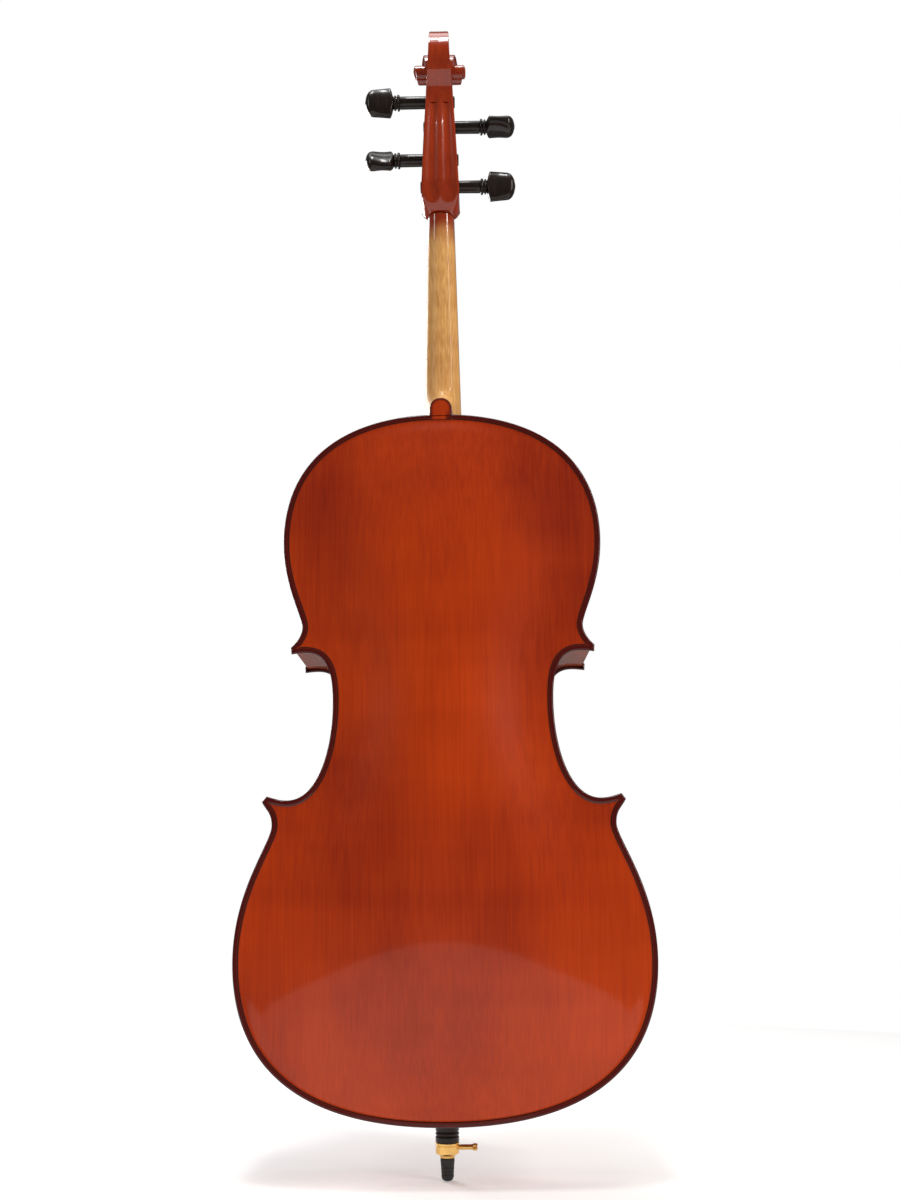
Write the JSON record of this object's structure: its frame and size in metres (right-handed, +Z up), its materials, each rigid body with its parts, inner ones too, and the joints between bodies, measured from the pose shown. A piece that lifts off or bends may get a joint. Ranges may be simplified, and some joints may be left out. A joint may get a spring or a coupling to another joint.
{
  "type": "cello",
  "caption": "Full-size bowed cello with arched hollow body, scroll head, tuning pegs, strings, bridge, tailpiece with fine tuners and a sliding endpin.",
  "frame": {"origin": "centre of the flat foot of the endpin's rubber tip, with the endpin pushed in", "axes": "+Z up along the instrument towards the scroll, -Y out of the front, +Y out of the back, +X towards the treble side"},
  "size_m": [0.4394, 0.2593, 1.3194],
  "materials": {
    "varnished_maple": "glossy red-orange-brown varnish over flamed maple",
    "neck_maple": "oiled maple shaft shading into red-brown varnish at head and heel",
    "varnished_spruce": "glossy red-orange-brown varnish over straight-grained spruce",
    "raw_spruce": "bare planed wood",
    "ebony": "polished black-brown hardwood",
    "bridge_maple": "bare close-grained maple",
    "string_steel": "flat-wound metal",
    "steel": "bright steel",
    "brass": "bright turned brass",
    "rubber": "matt black rubber",
    "tailgut_cord": "black braided cord"
  },
  "bodies": {
    "instrument": {"back_plate": "varnished_maple", "bass_bar": "raw_spruce", "bridge": "bridge_maple", "corner_block_lower_bass": "raw_spruce", "corner_block_lower_treble": "raw_spruce", "corner_block_upper_bass": "raw_spruce", "corner_block_upper_treble": "raw_spruce", "endpin_collar": "brass", "endpin_plug": "ebony", "fingerboard": "ebony", "lining_back_lower_bass": "raw_spruce", "lining_back_lower_treble": "raw_spruce", "lining_back_upper_bass": "raw_spruce", "lining_back_upper_treble": "raw_spruce", "lining_back_waist_bass": "raw_spruce", "lining_back_waist_treble": "raw_spruce", "lining_front_lower_bass": "raw_spruce", "lining_front_lower_treble": "raw_spruce", "lining_front_upper_bass": "raw_spruce", "lining_front_upper_treble": "raw_spruce", "lining_front_waist_bass": "raw_spruce", "lining_front_waist_treble": "raw_spruce", "lower_block": "raw_spruce", "neck": "neck_maple", "nut": "ebony", "rib_lower_bass": "varnished_maple", "rib_lower_treble": "varnished_maple", "rib_upper_bass": "varnished_maple", "rib_upper_treble": "varnished_maple", "rib_waist_bass": "varnished_maple", "rib_waist_treble": "varnished_maple", "saddle": "ebony", "sound_post": "raw_spruce", "string_a": "string_steel", "string_c": "string_steel", "string_d": "string_steel", "string_g": "string_steel", "tailgut": "tailgut_cord", "tailpiece": "ebony", "top_plate": "varnished_spruce", "upper_block": "raw_spruce"},
    "peg_c": {"peg_c": "ebony"},
    "peg_g": {"peg_g": "ebony"},
    "peg_d": {"peg_d": "ebony"},
    "peg_a": {"peg_a": "ebony"},
    "tuner_screw_c": {"tuner_screw_c": "brass"},
    "tuner_knob_c": {"tuner_knob_c": "brass"},
    "tuner_lever_c": {"tuner_lever_c": "steel"},
    "tuner_screw_g": {"tuner_screw_g": "brass"},
    "tuner_knob_g": {"tuner_knob_g": "brass"},
    "tuner_lever_g": {"tuner_lever_g": "steel"},
    "tuner_screw_d": {"tuner_screw_d": "brass"},
    "tuner_knob_d": {"tuner_knob_d": "brass"},
    "tuner_lever_d": {"tuner_lever_d": "steel"},
    "tuner_screw_a": {"tuner_screw_a": "brass"},
    "tuner_knob_a": {"tuner_knob_a": "brass"},
    "tuner_lever_a": {"tuner_lever_a": "steel"},
    "endpin": {"endpin_rod": "steel", "endpin_tip": "rubber"},
    "endpin_screw": {"endpin_screw": "brass"}
  },
  "joints": [
    {"name": "peg_c_turn", "type": "hinge", "parent": "instrument", "child": "peg_c", "pos_m": [0, -0.018, 1.13], "axis": [1, 0, 0], "range_deg": [-360, 90]},
    {"name": "peg_g_turn", "type": "hinge", "parent": "instrument", "child": "peg_g", "pos_m": [0, -0.0131, 1.2031], "axis": [1, 0, 0], "range_deg": [-360, 90]},
    {"name": "peg_d_turn", "type": "hinge", "parent": "instrument", "child": "peg_d", "pos_m": [0, -0.01101, 1.2343], "axis": [1, 0, 0], "range_deg": [-360, 90]},
    {"name": "peg_a_turn", "type": "hinge", "parent": "instrument", "child": "peg_a", "pos_m": [0, -0.01578, 1.1631], "axis": [1, 0, 0], "range_deg": [-360, 90]},
    {"name": "tuner_c_travel", "type": "slide", "parent": "instrument", "child": "tuner_screw_c", "axis": [0, 1, 0], "range_m": [-0.0016, 0]},
    {"name": "tuner_c_turn", "type": "hinge", "parent": "tuner_screw_c", "child": "tuner_knob_c", "pos_m": [-0.01875, -0.1278, 0.284], "axis": [0, 1, 0], "range_deg": [-1080, 0]},
    {"name": "tuner_c_rock", "type": "hinge", "parent": "instrument", "child": "tuner_lever_c", "pos_m": [-0.01875, -0.1189, 0.301], "axis": [1, 0, 0], "range_deg": [-5.2, 0]},
    {"name": "tuner_g_travel", "type": "slide", "parent": "instrument", "child": "tuner_screw_g", "axis": [0, 1, 0], "range_m": [-0.0016, 0]},
    {"name": "tuner_g_turn", "type": "hinge", "parent": "tuner_screw_g", "child": "tuner_knob_g", "pos_m": [-0.00625, -0.13036, 0.284], "axis": [0, 1, 0], "range_deg": [-1080, 0]},
    {"name": "tuner_g_rock", "type": "hinge", "parent": "instrument", "child": "tuner_lever_g", "pos_m": [-0.00625, -0.12146, 0.301], "axis": [1, 0, 0], "range_deg": [-5.2, 0]},
    {"name": "tuner_d_travel", "type": "slide", "parent": "instrument", "child": "tuner_screw_d", "axis": [0, 1, 0], "range_m": [-0.0016, 0]},
    {"name": "tuner_d_turn", "type": "hinge", "parent": "tuner_screw_d", "child": "tuner_knob_d", "pos_m": [0.00625, -0.13036, 0.284], "axis": [0, 1, 0], "range_deg": [-1080, 0]},
    {"name": "tuner_d_rock", "type": "hinge", "parent": "instrument", "child": "tuner_lever_d", "pos_m": [0.00625, -0.12146, 0.301], "axis": [1, 0, 0], "range_deg": [-5.2, 0]},
    {"name": "tuner_a_travel", "type": "slide", "parent": "instrument", "child": "tuner_screw_a", "axis": [0, 1, 0], "range_m": [-0.0016, 0]},
    {"name": "tuner_a_turn", "type": "hinge", "parent": "tuner_screw_a", "child": "tuner_knob_a", "pos_m": [0.01875, -0.1278, 0.284], "axis": [0, 1, 0], "range_deg": [-1080, 0]},
    {"name": "tuner_a_rock", "type": "hinge", "parent": "instrument", "child": "tuner_lever_a", "pos_m": [0.01875, -0.1189, 0.301], "axis": [1, 0, 0], "range_deg": [-5.2, 0]},
    {"name": "endpin_slide", "type": "slide", "parent": "instrument", "child": "endpin", "axis": [0, 0, -1], "range_m": [0, 0.34]},
    {"name": "endpin_screw_turn", "type": "hinge", "parent": "instrument", "child": "endpin_screw", "pos_m": [0, 0, 0.0339], "axis": [1, 0, 0], "range_deg": [-720, 0]}
  ],
  "couplings": [
    {"joint": "tuner_c_travel", "follows": "tuner_c_turn", "m_per_rad": 0.000079577},
    {"joint": "tuner_c_rock", "follows": "tuner_c_turn", "ratio": 0.004681},
    {"joint": "tuner_g_travel", "follows": "tuner_g_turn", "m_per_rad": 0.000079577},
    {"joint": "tuner_g_rock", "follows": "tuner_g_turn", "ratio": 0.004681},
    {"joint": "tuner_d_travel", "follows": "tuner_d_turn", "m_per_rad": 0.000079577},
    {"joint": "tuner_d_rock", "follows": "tuner_d_turn", "ratio": 0.004681},
    {"joint": "tuner_a_travel", "follows": "tuner_a_turn", "m_per_rad": 0.000079577},
    {"joint": "tuner_a_rock", "follows": "tuner_a_turn", "ratio": 0.004681}
  ]
}
